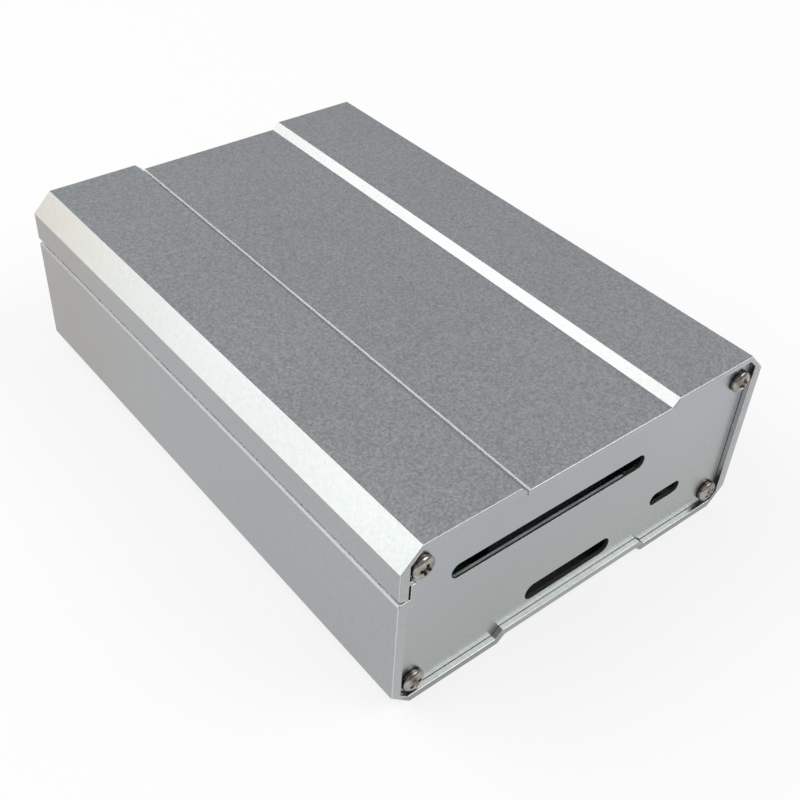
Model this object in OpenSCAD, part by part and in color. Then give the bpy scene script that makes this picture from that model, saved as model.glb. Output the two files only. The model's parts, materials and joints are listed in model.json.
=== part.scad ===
// Aluminium case for a single-board computer, in two interlocking shells, with the board that it holds.
// The smaller shell is the upper left corner, which comes off to bare the board's pin header.
// X runs across the case, Y along it with the slotted plate at -Y, and Z up from the surface it stands on.

/* [Board] */
// Length of the circuit board
board_l = 85; // [76:0.5:110]
// Width of the circuit board
board_w = 56; // [52:0.5:80]
// Thickness of the circuit board
board_t = 1.45; // [1:0.05:2]
// Radius of the board's corners
board_r = 3; // [1:0.5:4]
// Diameter of the board's mounting holes
hole_d = 2.75; // [2:0.05:3.2]
// Mounting hole centres to the board's edges
hole_inset = 3.5; // [3:0.1:4.5]
// Pitch of the mounting holes along the board
hole_pitch = 58; // [45:0.5:62]

/* [Room inside] */
// Gap between the board's left edge and the wall
left_room = 1; // [0.5:0.1:3]
// Gap between the board's right edge and the wall, for the sockets that overhang it
right_room = 3; // [2.8:0.1:6]
// Gap between each end of the board and the end plate
end_room = 1.45; // [0.5:0.05:3]
// Gap between the board and the raised middle of the floor
under_room = 4.6; // [3.6:0.1:8]
// Gap between the tallest socket and the sunken middle of the top
over_room = 2.4; // [0.5:0.1:6]

/* [Shells] */
// Thickness of the side walls
side_wall = 1.5; // [1.2:0.1:2.5]
// Thickness of the top
top_wall = 1; // [0.8:0.1:2]
// Thickness of the floor
floor_wall = 1.2; // [0.8:0.1:2]
// Thickness of the sloped corner walls
corner_wall = 0.7; // [0.6:0.1:1.6]
// Size of the sloped upper corners
top_chamfer = 3; // [2:0.1:4]
// Size of the sloped lower corners
bottom_chamfer = 2.9; // [2:0.1:4]
// Width of the flat middle of the top and the floor
channel_w = 25.2; // [16:0.2:32]
// Depth to which the middle is sunk
channel_depth = 1.1; // [0.5:0.1:1.6]
// Width of each slope beside the middle
channel_run = 1.2; // [0.6:0.1:2]

/* [Joint on the side] */
// Height of the upper shell's side, corner included
lid_h = 8.25; // [7.8:0.05:9.5]
// Bevel along the lower shell's upper left edge
split_bevel = 0.22; // [0.1:0.02:0.5]
// Height of the groove between the shells
groove_h = 0.35; // [0.1:0.05:0.6]
// Depth of that groove
groove_depth = 1; // [0.6:0.1:1]
// Bevel along the upper shell's lower edge, above the groove
lid_bevel = 0.5; // [0.2:0.05:0.6]
// Height of the lip that the lower shell sets inside the upper one
lip_h = 2.4; // [1:0.1:2.6]
// Thickness of that lip
lip_t = 0.8; // [0.6:0.1:1.2]
// Gap between the lip and the upper shell
lip_gap = 0.25; // [0.1:0.05:0.4]
// Height of the thickened wall under the lip
lip_root = 1.2; // [0.6:0.1:2]

/* [Joint on the top] */
// Distance from the foot of the left slope to the lower shell's edge
seam_inset = 0.15; // [0.1:0.05:0.3]
// Gap between the shells there
seam_gap = 0.35; // [0.1:0.05:0.4]
// Bevel along the lower shell's edge at that gap
seam_bevel = 0.22; // [0.1:0.02:0.3]
// Reach of the tongue that the lower shell sets under the upper one
lap_l = 0.4; // [0.3:0.1:0.8]
// Thickness of that tongue
lap_t = 0.5; // [0.4:0.05:0.6]
// Gap between the tongue or the lip's end and the upper shell
lap_gap = 0.1; // [0.05:0.05:0.2]

/* [Board rails] */
// Reach of the rails over and under the board's edge
rail_grip = 0.6; // [0.4:0.1:1]
// Height of each rail
rail_t = 1; // [0.8:0.1:1.5]
// Gap between the board and the rail above it
rail_gap = 0.25; // [0.1:0.05:0.5]

/* [End plates] */
// Thickness of the end plates
plate_t = 0.7; // [0.6:0.05:1.5]
// Depth of the plates behind the ends of the shells
plate_recess = 0.85; // [0.5:0.05:1.4]
// Gap between a plate's edge and the shells
plate_gap = 0.1; // [0.05:0.05:0.5]
// Gap between a plate and the sockets that pass through it
socket_gap = 0.25; // [0.1:0.05:0.6]

/* [Front slots] */
// Width of the ribbon slot
ribbon_slot_w = 33.3; // [20:0.1:40]
// Height of the ribbon slot
ribbon_slot_h = 2.45; // [2:0.05:4]
// Ribbon slot centre, left of the case's middle
ribbon_slot_left = 6.2; // [3:0.1:8]
// Ribbon slot centre, below the top
ribbon_slot_drop = 9.45; // [8:0.05:11]
// Width of the card slot
card_slot_w = 15.8; // [13:0.1:20]
// Height of the card slot
card_slot_h = 2.85; // [2.4:0.05:3.2]
// Card slot centre, below the card's middle
card_slot_drop = 0.7; // [0:0.05:0.75]
// Width of the light slot
light_slot_w = 6.05; // [5:0.05:8]
// Height of the light slot
light_slot_h = 2.2; // [1.6:0.1:2.6]

/* [Plate screws] */
// Diameter of the screw shank
screw_d = 2.3; // [2:0.1:2.6]
// Length of the screw shank
screw_l = 8; // [5:0.5:12]
// Diameter of the pan head
head_d = 3.3; // [3:0.1:3.9]
// Height of the pan head
head_h = 1.15; // [0.9:0.05:1.6]
// Height of the head's straight rim
head_rim = 0.5; // [0.3:0.05:0.7]
// Width across the cross recess
cross_w = 1.9; // [1.4:0.1:2.2]
// Width of each arm of the cross recess
cross_t = 0.5; // [0.3:0.05:0.7]
// Depth of the cross recess
cross_depth = 0.65; // [0.4:0.05:0.8]
// Gap between a screw head and the side wall
head_gap = 0.45; // [0.2:0.05:0.8]
// Gap between an upper screw head and the top
head_gap_top = 1.65; // [1.2:0.05:1.8]
// Gap between a lower screw head and the floor
head_gap_low = 0.5; // [0.2:0.05:0.8]
// Gap round the shank in the plate
shank_gap = 0.2; // [0.1:0.05:0.4]
// Gap round the shank in its channel
bore_gap = 0.05; // [0.02:0.01:0.1]
// Wall of the channel round the screw
bore_wall = 1; // [0.8:0.1:1.3]
// Width of the slit that opens the channel
slit_w = 0.8; // [0.4:0.1:1.2]

/* [Rear sockets] */
// Width of a double port
port_w = 13.1; // [12:0.1:15]
// Depth of a double port
port_l = 17.5; // [15:0.5:20]
// Height of a double port
port_h = 15.6; // [14:0.1:17]
// Width of a port's mouth
port_mouth_w = 12; // [11.5:0.1:12.4]
// Height of a port's mouth
port_mouth_h = 5.2; // [4.8:0.1:5.6]
// Depth of a port's mouth
port_mouth_l = 11; // [9:0.5:13]
// Distance between the two mouths of a double port, middle to middle
port_mouth_pitch = 7.4; // [6.4:0.1:8]
// Width of the tongue in a mouth
tongue_w = 10.8; // [9:0.1:11.2]
// Thickness of the tongue in a mouth
tongue_t = 1.9; // [1.2:0.1:2.4]
// Length of the tongue in a mouth
tongue_l = 9; // [6:0.5:10]
// Gap between neighbouring rear sockets
socket_spacing = 3.2; // [2.2:0.1:4]
// Distance from the board's left edge to the first double port
port_inset = 4.9; // [4.2:0.1:6]
// Width of the network socket
network_w = 16; // [15:0.1:17]
// Depth of the network socket
network_l = 21.3; // [18:0.1:23]
// Height of the network socket
network_h = 13.4; // [12:0.1:15]
// Width of the network socket's mouth
network_mouth_w = 11.8; // [11:0.1:12.5]
// Height of the network socket's mouth
network_mouth_h = 7; // [6.5:0.1:8]
// Depth of the network socket's mouth
network_mouth_l = 12; // [10:0.5:14]
// Width of the notch for the plug's latch
latch_w = 6.2; // [5:0.1:7]
// Height of the notch for the plug's latch
latch_h = 1.8; // [1:0.1:2.4]
// Wall above the network socket's latch notch and mouth
network_cap = 2; // [1.5:0.1:2.6]

/* [Side sockets] */
// Power socket centre from the board's front edge
power_at = 10.6; // [9:0.1:12]
// Width of the power socket
power_w = 7.6; // [7:0.1:8.5]
// Depth of the power socket
power_l = 5.6; // [5:0.1:7]
// Height of the power socket
power_h = 2.8; // [2.4:0.1:3.4]
// Overhang of the power socket past the board
power_out = 0.8; // [0:0.1:1.5]
// Wall of the power socket's shell
power_shell = 0.35; // [0.2:0.05:0.5]
// Video socket centre from the board's front edge
video_at = 32; // [28:0.5:34]
// Width of the video socket
video_w = 15; // [14:0.1:16]
// Depth of the video socket
video_l = 11.7; // [10:0.1:13]
// Height of the video socket
video_h = 6; // [5.4:0.1:6.6]
// Overhang of the video socket past the board
video_out = 1.5; // [0.5:0.1:2]
// Wall of the video socket's shell
video_shell = 0.5; // [0.3:0.05:0.8]
// Bevel of the lower corners of the video socket's mouth
video_taper = 1.4; // [0.8:0.1:2]
// Audio socket centre from the board's front edge
audio_at = 53.5; // [52:0.5:58]
// Width of the audio socket
audio_w = 7; // [6.4:0.1:8]
// Depth of the audio socket's body
audio_l = 11.5; // [10:0.1:13]
// Height of the audio socket
audio_h = 6; // [5.8:0.1:7]
// Diameter of the audio socket's barrel
barrel_d = 5.8; // [5:0.1:5.8]
// Overhang of the barrel past the board
barrel_out = 2.5; // [1:0.1:2.5]
// Bore of the audio socket
audio_bore = 3.6; // [3.5:0.1:4]
// Depth of the audio socket's bore
audio_bore_l = 12; // [8:0.5:13]
// Room for a plug round the power socket
power_cut = 1.6; // [1:0.1:2.5]
// Room for a plug round the video socket
video_cut = 1.5; // [1:0.1:2]
// Room for a plug round the audio socket's barrel
audio_cut = 1.3; // [0.8:0.1:1.6]
// Corner radius of the side openings
cut_r = 1; // [0.5:0.1:1.2]

/* [Card] */
// Length of the memory card
card_l = 15; // [13:0.5:17]
// Width of the memory card
card_w = 11; // [10:0.1:12]
// Thickness of the memory card
card_t = 0.75; // [0.5:0.05:0.9]
// Length of the card that stands out past the board
card_out = 1.4; // [1:0.1:2.6]
// Height of the card socket under the board
card_socket_h = 1.4; // [1.2:0.1:2]
// Sheet thickness of the card socket
card_sheet = 0.2; // [0.15:0.05:0.3]
// Gap beside the card in its socket
card_gap = 0.3; // [0.1:0.05:0.5]

/* [Board parts] */
// Gap between small neighbours on the board
part_gap = 1; // [0.5:0.1:2]
// Pins along the header
pin_count = 20; // [10:1:20]
// Pitch of the header pins
pin_pitch = 2.54; // [2:0.01:2.54]
// Thickness of a header pin
pin_t = 0.64; // [0.4:0.02:0.8]
// Height of a header pin above its strip
pin_h = 6; // [4:0.5:9]
// Height of the header's strip
strip_h = 2.5; // [1.5:0.1:3]
// Header's first end from the board's front edge
header_at = 7.1; // [6.6:0.1:8]
// Side of the processor
processor_w = 14; // [10:0.5:16]
// Height of the processor
processor_h = 1.3; // [0.8:0.1:2]
// Processor centre from the board's front edge
processor_at = 28; // [25:0.5:30]
// Side of the memory chip under the board
memory_w = 11.5; // [9:0.5:13]
// Height of the memory chip
memory_h = 0.9; // [0.6:0.1:1.2]
// Side of the network chip
hub_w = 9; // [7:0.5:10]
// Height of the network chip
hub_h = 0.9; // [0.6:0.1:1.2]
// Width of a film connector
film_w = 22; // [16:0.5:22]
// Depth of a film connector
film_l = 3; // [2.5:0.1:3.6]
// Height of a film connector
film_h = 5.5; // [4:0.1:6]
// Width of the slit in a film connector
film_slit = 0.6; // [0.4:0.1:1]
// Display connector centre from the board's front edge
display_at = 4; // [3.6:0.1:5]
// Camera connector centre from the board's front edge
camera_at = 45; // [42:0.5:47]
// Length of a status light
light_l = 1.6; // [1.2:0.1:2]
// Width of a status light
light_w = 0.8; // [0.6:0.1:1]
// Height of a status light
light_h = 0.7; // [0.5:0.1:0.9]
// Pitch of the status lights
light_pitch = 3.6; // [2.4:0.1:3.8]
// Status lights' middle from the board's right edge
lights_in = 9.55; // [8:0.05:12]
// Status lights from the board's front edge
lights_at = 1.1; // [0.9:0.1:2]
// Side of a power coil
coil_w = 4; // [3:0.5:5]
// Height of a power coil
coil_h = 2; // [1.5:0.1:3]
// Diameter of a capacitor can
can_d = 5; // [4:0.1:6]
// Height of a capacitor can
can_h = 5.4; // [4:0.1:6]
// Side of a capacitor's foot
can_foot = 5.3; // [5:0.1:6.3]
// Height of a capacitor's foot
can_foot_h = 0.8; // [0.4:0.1:1.2]
// Length of the clock crystal
crystal_l = 5; // [3:0.1:6]
// Width of the clock crystal
crystal_w = 3.2; // [2:0.1:4]
// Height of the clock crystal
crystal_h = 1; // [0.7:0.1:1.4]

/* [Hidden] */
$fn = 48;

aluminium = [0.66, 0.68, 0.69];
nickel = [0.72, 0.70, 0.66];
board_green = [0.08, 0.30, 0.16];
chip_black = [0.07, 0.07, 0.08];
tin = [0.76, 0.76, 0.75];
gold = [0.80, 0.66, 0.30];

// Past a face, so that a cut leaves no skin
over = 1;
// Depth to which ribs run into the wall that carries them
rib_bite = 0.3;

// Across the case
inner_half = (left_room + board_w + right_room) / 2;
half_w = inner_half + side_wall;
board_left = left_room - inner_half;
board_right = board_left + board_w;
board_x = (board_left + board_right) / 2;
channel_half = channel_w / 2;

// Along the case
case_l = board_l + 2 * (end_room + plate_t + plate_recess);
rib_l = case_l - 2 * (plate_recess + plate_t);
board_front = -board_l / 2;
board_rear = board_l / 2;
front_face = -case_l / 2 + plate_recess;
rear_face = -front_face;

// Up the case
board_z = floor_wall + channel_depth + under_room;
board_top = board_z + board_t;
case_h = board_top + port_h + over_room + channel_depth + top_wall;
split_z = case_h - lid_h;
ceiling = case_h - top_wall;

// Inner corners and channel, at an even distance from the outer faces
inner_top_cut = top_chamfer - side_wall - top_wall + sqrt(2) * corner_wall;
inner_low_cut = bottom_chamfer - side_wall - floor_wall + sqrt(2) * corner_wall;
channel_turn = tan(atan(channel_depth / channel_run) / 2);

// Screws, set in from the walls by their heads
screw_x = inner_half - head_gap - head_d / 2;
top_screw_z = ceiling - head_gap_top - head_d / 2;
low_screw_z = floor_wall + head_gap_low + head_d / 2;
bore_d = screw_d + 2 * bore_gap;
bore_r = bore_d / 2 + bore_wall;

// Lip of the lower shell, which ends below the upper screws
lip_top = min(split_z + lip_h, top_screw_z - bore_d / 2);
lip_outer = inner_half - lip_gap;
lip_inner = lip_outer - lip_t;
lip_foot = split_z - lip_root - lip_gap - lip_t;

// Shoulder of the upper shell between the lip's end and the screw head beside it
shoulder_z = lip_top + lap_gap;
shoulder_top = max(shoulder_z, top_screw_z - head_d / 4);
shoulder_r = (head_d + head_gap) / 2;

// Joint on the top, at the foot of the left slope
seam_right = seam_inset - channel_half;
seam_left = seam_right - seam_gap;
middle_z = case_h - channel_depth;
lap_z = middle_z - top_wall;

// Sockets along the rear edge, from left to right
port_left_x = board_left + port_inset + port_w / 2;
port_right_x = port_left_x + port_w + socket_spacing;
network_x = port_right_x + port_w / 2 + socket_spacing + network_w / 2;

// Card and status lights, which the front slots line up with
card_z = board_z - card_socket_h + card_sheet;
lights_x = board_right - lights_in;

// Tools that shapes share

module along_case(length) {
    rotate([90, 0, 0])
        linear_extrude(height = length, center = true)
            children();
}

module upright(y, thickness) {
    translate([0, y + thickness, 0])
        rotate([90, 0, 0])
            linear_extrude(height = thickness)
                children();
}

module across_case(x, thickness) {
    translate([x, 0, 0])
        rotate([90, 0, 90])
            linear_extrude(height = thickness)
                children();
}

module both_sides() {
    children();
    mirror([1, 0, 0])
        children();
}

module block(w, l, h) {
    translate([-w / 2, -l / 2, 0])
        cube([w, l, h]);
}

module obround(w, h) {
    square([w - h, h], center = true);
    for (side = [-1, 1])
        translate([side * (w - h) / 2, 0])
            circle(d = h);
}

module rounded(w, h, r) {
    square([w - 2 * r, h], center = true);
    square([w, h - 2 * r], center = true);
    for (x = [-1, 1], y = [-1, 1])
        translate([x * (w / 2 - r), y * (h / 2 - r)])
            circle(r);
}

// Outlines of the case in cross-section

function right_half(half, low, high, low_cut, high_cut, low_flat, high_flat) = [
    [low_flat, low + channel_depth],
    [low_flat + channel_run, low],
    [half - low_cut, low],
    [half, low + low_cut],
    [half, high - high_cut],
    [half - high_cut, high],
    [high_flat + channel_run, high],
    [high_flat, high - channel_depth]
];

function whole(points) = concat(
    points,
    [for (i = [len(points) - 1:-1:0]) [-points[i][0], points[i][1]]]
);

module outer_outline() {
    polygon(whole(right_half(
        half_w, 0, case_h, bottom_chamfer, top_chamfer, channel_half, channel_half
    )));
}

// The hollow between the shells, drawn smaller by a gap
module inner_outline(gap) {
    corner_gain = gap * (2 - sqrt(2));
    polygon(whole(right_half(
        inner_half - gap, floor_wall + gap, ceiling - gap,
        inner_low_cut - corner_gain, inner_top_cut - corner_gain,
        channel_half + (floor_wall + gap) * channel_turn,
        channel_half + (top_wall + gap) * channel_turn
    )));
}

module wall_outline() {
    difference() {
        outer_outline();
        inner_outline(0);
    }
}

// Screw channel in the right-hand corner, with solid metal out to the walls and a slit
module screw_channel(z, up) {
    intersection() {
        inner_outline(-rib_bite);
        translate([screw_x, z])
            difference() {
                union() {
                    circle(r = bore_r);
                    translate([0, up > 0 ? 0 : -floor_wall - z])
                        square([side_wall + inner_half - screw_x, up > 0 ? case_h - z : floor_wall + z]);
                }
                circle(d = bore_d);
                rotate(up > 0 ? 300 : 135)
                    translate([0, -slit_w / 2])
                        square([2 * bore_r, slit_w]);
            }
    }
}

// Shells

// Groove and bevel that the upper shell's lower edge leaves above the lower shell
module lid_groove() {
    groove_z = split_z + groove_h;
    polygon([
        [-half_w - over, split_z - over], [groove_depth - half_w, split_z - over],
        [groove_depth - half_w, groove_z], [lid_bevel - half_w, groove_z],
        [-half_w - over, groove_z + lid_bevel + over]
    ]);
}

// Room for the tongue under the upper shell's right edge
module lap_room() {
    reach = lap_l + lap_gap;
    translate([seam_left - reach, lap_z - over])
        square([reach + over, over + lap_t + lap_gap]);
}

// Room for the lip beside the upper shell's screw channel
module lip_room() {
    translate([-half_w, split_z - over])
        square([half_w - lip_inner + lip_gap, lip_top + lip_gap + over - split_z]);
}

// Shoulder above the lip's end, hollowed round the screw head
module shoulder() {
    difference() {
        translate([-inner_half - rib_bite, shoulder_z])
            square([inner_half + rib_bite - lip_inner, shoulder_top - shoulder_z]);
        translate([-screw_x, top_screw_z])
            circle(r = shoulder_r);
    }
}

module top_shell() {
    color(aluminium) {
        along_case(case_l) {
            difference() {
                intersection() {
                    wall_outline();
                    translate([-half_w, split_z])
                        square([half_w + seam_left, lid_h]);
                }
                lid_groove();
                lap_room();
            }
            shoulder();
        }
        along_case(rib_l)
            difference() {
                mirror([1, 0])
                    screw_channel(top_screw_z, 1);
                lip_room();
            }
    }
}

// Part of the case's section that the lower shell takes, bevelled along both joints
module lower_share() {
    polygon([
        [-half_w, 0], [half_w, 0], [half_w, case_h], [seam_right + seam_bevel, case_h],
        [seam_right + seam_bevel, middle_z], [seam_right, middle_z - seam_bevel], [seam_right, split_z],
        [split_bevel - half_w, split_z], [-half_w, split_z - split_bevel]
    ]);
}

// Tongue under the upper shell's right edge, within the thickness of the wall
module lap() {
    intersection() {
        wall_outline();
        translate([seam_left - lap_l, lap_z])
            square([lap_l + seam_gap + rib_bite, lap_t]);
    }
}

// Lip inside the upper shell's side, standing on a thickened stretch of the wall
module lip() {
    polygon([
        [-inner_half - rib_bite, lip_foot - rib_bite],
        [-lip_inner, split_z - lip_root],
        [-lip_inner, lip_top],
        [-lip_outer, lip_top],
        [-lip_outer, split_z],
        [-inner_half - rib_bite, split_z]
    ]);
}

// Rail from a side wall to a little way past the board's edge
module rail(edge, z) {
    wall = sign(edge) * (inner_half + rib_bite);
    grip = edge - sign(edge) * rail_grip;
    translate([min(wall, grip), z])
        square([abs(wall - grip), rail_t]);
}

module side_opening(at, z, w, h) {
    across_case(inner_half - over, side_wall + 2 * over)
        translate([board_front + at, z])
            rounded(w, h, cut_r);
}

module bottom_shell() {
    color(aluminium)
        difference() {
            union() {
                along_case(case_l) {
                    intersection() {
                        wall_outline();
                        lower_share();
                    }
                    lip();
                }
                along_case(rib_l) {
                    lap();
                    screw_channel(top_screw_z, 1);
                    both_sides()
                        screw_channel(low_screw_z, -1);
                    rail(board_left, board_z - rail_t);
                    rail(board_right, board_z - rail_t);
                    rail(board_left, board_top + rail_gap);
                }
            }
            side_opening(power_at, board_top + power_h / 2, power_w + 2 * power_cut, power_h + 2 * power_cut);
            side_opening(video_at, board_top + video_h / 2, video_w + 2 * video_cut, video_h + 2 * video_cut);
            across_case(inner_half - over, side_wall + 2 * over)
                translate([board_front + audio_at, board_top + audio_h / 2])
                    circle(d = barrel_d + 2 * audio_cut);
        }
}

// End plates

module plate_outline() {
    notch_foot = lip_foot - plate_gap;
    difference() {
        inner_outline(plate_gap);
        difference() {
            translate([-inner_half - over, notch_foot])
                square([inner_half - lip_inner + plate_gap + over, shoulder_top + plate_gap - notch_foot]);
            translate([-screw_x, top_screw_z])
                circle(r = shoulder_r - plate_gap);
        }
        both_sides()
            for (z = [top_screw_z, low_screw_z])
                translate([screw_x, z])
                    circle(d = screw_d + 2 * shank_gap);
    }
}

module front_plate() {
    color(aluminium)
        upright(front_face, plate_t)
            difference() {
                plate_outline();
                translate([-ribbon_slot_left, case_h - ribbon_slot_drop])
                    obround(ribbon_slot_w, ribbon_slot_h);
                translate([board_x, card_z + card_t / 2 - card_slot_drop])
                    obround(card_slot_w, card_slot_h);
                translate([lights_x, board_top + light_h / 2])
                    obround(light_slot_w, light_slot_h);
            }
}

module socket_opening(x, w, h) {
    translate([x - w / 2 - socket_gap, board_top - socket_gap])
        square([w + 2 * socket_gap, h + 2 * socket_gap]);
}

module rear_plate() {
    color(aluminium)
        upright(rear_face - plate_t, plate_t)
            difference() {
                plate_outline();
                socket_opening(port_left_x, port_w, port_h);
                socket_opening(port_right_x, port_w, port_h);
                socket_opening(network_x, network_w, network_h);
            }
}

// Pan-head screw along +Y, with the seat of its head at the origin
module plate_screw() {
    dome = head_h - head_rim;
    dome_r = (head_d * head_d / 4 + dome * dome) / (2 * dome);
    rotate([90, 0, 0])
        difference() {
            union() {
                rotate_extrude()
                    intersection() {
                        square([head_d / 2, head_h]);
                        translate([0, head_h - dome_r])
                            circle(dome_r);
                    }
                translate([0, 0, -screw_l])
                    cylinder(d = screw_d, h = screw_l + head_rim);
            }
            for (turn = [0, 90])
                rotate(turn)
                    translate([-cross_w / 2, -cross_t / 2, head_h - cross_depth])
                        cube([cross_w, cross_t, cross_depth + over]);
        }
}

module plate_screws() {
    both_sides()
        for (z = [top_screw_z, low_screw_z])
            translate([screw_x, front_face, z])
                plate_screw();
}

module front_plate_screws() {
    color(nickel)
        plate_screws();
}

module rear_plate_screws() {
    color(nickel)
        mirror([0, 1, 0])
            plate_screws();
}

// Board and what is soldered to it

module circuit_board() {
    color(board_green)
        translate([board_x, 0, board_z])
            linear_extrude(height = board_t)
                difference() {
                    rounded(board_w, board_l, board_r);
                    for (x = [-1, 1], y = [0, hole_pitch])
                        translate([x * (board_w / 2 - hole_inset), board_front + hole_inset + y])
                            circle(d = hole_d);
                }
}

module processor() {
    color(chip_black)
        translate([board_x, board_front + processor_at, board_top])
            block(processor_w, processor_w, processor_h);
}

module memory_chip() {
    color(chip_black)
        translate([board_x, board_front + processor_at, board_z - memory_h])
            block(memory_w, memory_w, memory_h);
}

module network_chip() {
    color(chip_black)
        translate([port_right_x, rear_face - port_l - 3 * part_gap - crystal_w - hub_w / 2, board_top])
            block(hub_w, hub_w, hub_h);
}

header_x = board_left + hole_inset;
header_l = pin_count * pin_pitch;

module header_strip() {
    color(chip_black)
        translate([header_x, board_front + header_at + header_l / 2, board_top])
            block(2 * pin_pitch, header_l, strip_h);
}

module header_pins() {
    color(gold)
        for (row = [-0.5, 0.5], i = [0:pin_count - 1])
            translate([
                header_x + row * pin_pitch,
                board_front + header_at + (i + 0.5) * pin_pitch,
                board_top + strip_h
            ])
                block(pin_t, pin_t, pin_h);
}

// Connector for a flat film cable, open along its top
module film_connector() {
    difference() {
        block(film_w, film_l, film_h);
        translate([0, 0, film_h / 2])
            block(film_w - 2 * film_slit, film_slit, film_h);
    }
}

module display_connector() {
    color(chip_black)
        translate([board_x, board_front + display_at, board_top])
            film_connector();
}

module camera_connector() {
    color(chip_black)
        translate([board_right - film_slit - film_w / 2, board_front + camera_at, board_top])
            film_connector();
}

module power_socket() {
    face = board_right + power_out;
    color(tin)
        difference() {
            translate([face - power_l / 2, board_front + power_at, board_top])
                block(power_l, power_w, power_h);
            translate([face - power_l / 2 + power_shell, board_front + power_at, board_top + power_shell])
                block(power_l, power_w - 2 * power_shell, power_h - 2 * power_shell);
        }
}

module video_socket() {
    face = board_right + video_out;
    mouth_w = video_w / 2 - video_shell;
    mouth_top = video_h - video_shell;
    color(tin)
        difference() {
            translate([face - video_l / 2, board_front + video_at, board_top])
                block(video_l, video_w, video_h);
            across_case(face - video_l + video_shell, video_l)
                translate([board_front + video_at, board_top])
                    polygon([
                        [-mouth_w, video_shell + video_taper], [video_taper - mouth_w, video_shell],
                        [mouth_w - video_taper, video_shell], [mouth_w, video_shell + video_taper],
                        [mouth_w, mouth_top], [-mouth_w, mouth_top]
                    ]);
        }
}

module audio_socket() {
    axis_z = board_top + audio_h / 2;
    color(chip_black)
        difference() {
            union() {
                translate([board_right - audio_l / 2, board_front + audio_at, board_top])
                    block(audio_l, audio_w, audio_h);
                translate([board_right - rib_bite, board_front + audio_at, axis_z])
                    rotate([0, 90, 0])
                        cylinder(d = barrel_d, h = barrel_out + rib_bite);
            }
            translate([board_right + barrel_out - audio_bore_l, board_front + audio_at, axis_z])
                rotate([0, 90, 0])
                    cylinder(d = audio_bore, h = audio_bore_l + over);
        }
}

module network_socket() {
    mouth_top = board_top + network_h - network_cap - latch_h;
    color(tin)
        difference() {
            translate([network_x, rear_face - network_l / 2, board_top])
                block(network_w, network_l, network_h);
            translate([network_x, rear_face - network_mouth_l / 2 + over / 2, mouth_top - network_mouth_h])
                block(network_mouth_w, network_mouth_l + over, network_mouth_h);
            translate([network_x, rear_face - network_mouth_l / 2 + over / 2, mouth_top - over])
                block(latch_w, network_mouth_l + over, latch_h + over);
        }
}

// Heights of the middles of a double port's two mouths
mouth_z = [for (level = [-0.5, 0.5]) board_top + port_h / 2 + level * port_mouth_pitch];

module double_port(x) {
    color(tin)
        difference() {
            translate([x, rear_face - port_l / 2, board_top])
                block(port_w, port_l, port_h);
            for (z = mouth_z)
                translate([x, rear_face - port_mouth_l / 2 + over / 2, z - port_mouth_h / 2])
                    block(port_mouth_w, port_mouth_l + over, port_mouth_h);
        }
}

module double_port_left() {
    double_port(port_left_x);
}

module double_port_right() {
    double_port(port_right_x);
}

module contact_tongues() {
    color("white")
        for (x = [port_left_x, port_right_x], z = mouth_z)
            translate([x, rear_face - port_mouth_l + tongue_l / 2, z - tongue_t / 2])
                block(tongue_w, tongue_l, tongue_t);
}

// Sheet tray under the board that holds the card against it
module card_socket() {
    tray_w = card_w + 2 * (card_gap + card_sheet);
    tray_l = card_l - card_out;
    color(tin)
        translate([board_x, board_front + tray_l / 2, board_z - card_socket_h])
            difference() {
                block(tray_w, tray_l, card_socket_h);
                translate([0, -card_sheet, card_sheet])
                    block(card_w + 2 * card_gap, tray_l, card_socket_h);
            }
}

module memory_card() {
    color(chip_black)
        translate([board_x, board_front - card_out - card_sheet + card_l / 2, card_z])
            block(card_w, card_l, card_t);
}

module status_lights() {
    color("palegreen")
        for (side = [-0.5, 0.5])
            translate([lights_x + side * light_pitch, board_front + lights_at, board_top])
                block(light_l, light_w, light_h);
}

// Lengthwise place of the small parts that stand behind the display connector
behind_display = board_front + display_at + film_l / 2 + part_gap;

module power_coils() {
    color(chip_black)
        for (i = [0:2])
            translate([
                board_right - power_l - 2 * coil_w,
                behind_display + coil_w / 2 + i * (coil_w + part_gap),
                board_top
            ])
                block(coil_w, coil_w, coil_h);
}

module capacitors() {
    row_x = board_right - power_l - 2.5 * coil_w - part_gap - can_foot / 2;
    color(tin)
        for (i = [0:1])
            translate([row_x - i * (can_foot + part_gap), behind_display + can_foot / 2, board_top]) {
                block(can_foot, can_foot, can_foot_h);
                cylinder(d = can_d, h = can_h);
            }
}

module clock_crystal() {
    color(tin)
        translate([port_right_x, rear_face - port_l - 2 * part_gap - crystal_w / 2, board_top])
            block(crystal_l, crystal_w, crystal_h);
}

top_shell();
bottom_shell();
front_plate();
rear_plate();
front_plate_screws();
rear_plate_screws();
circuit_board();
processor();
memory_chip();
network_chip();
header_strip();
header_pins();
display_connector();
camera_connector();
power_socket();
video_socket();
audio_socket();
network_socket();
double_port_left();
double_port_right();
contact_tongues();
card_socket();
memory_card();
status_lights();
power_coils();
capacitors();
clock_crystal();
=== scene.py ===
import json
import math
from collections import namedtuple

import bmesh
import bpy
from mathutils import Matrix, Vector


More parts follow.
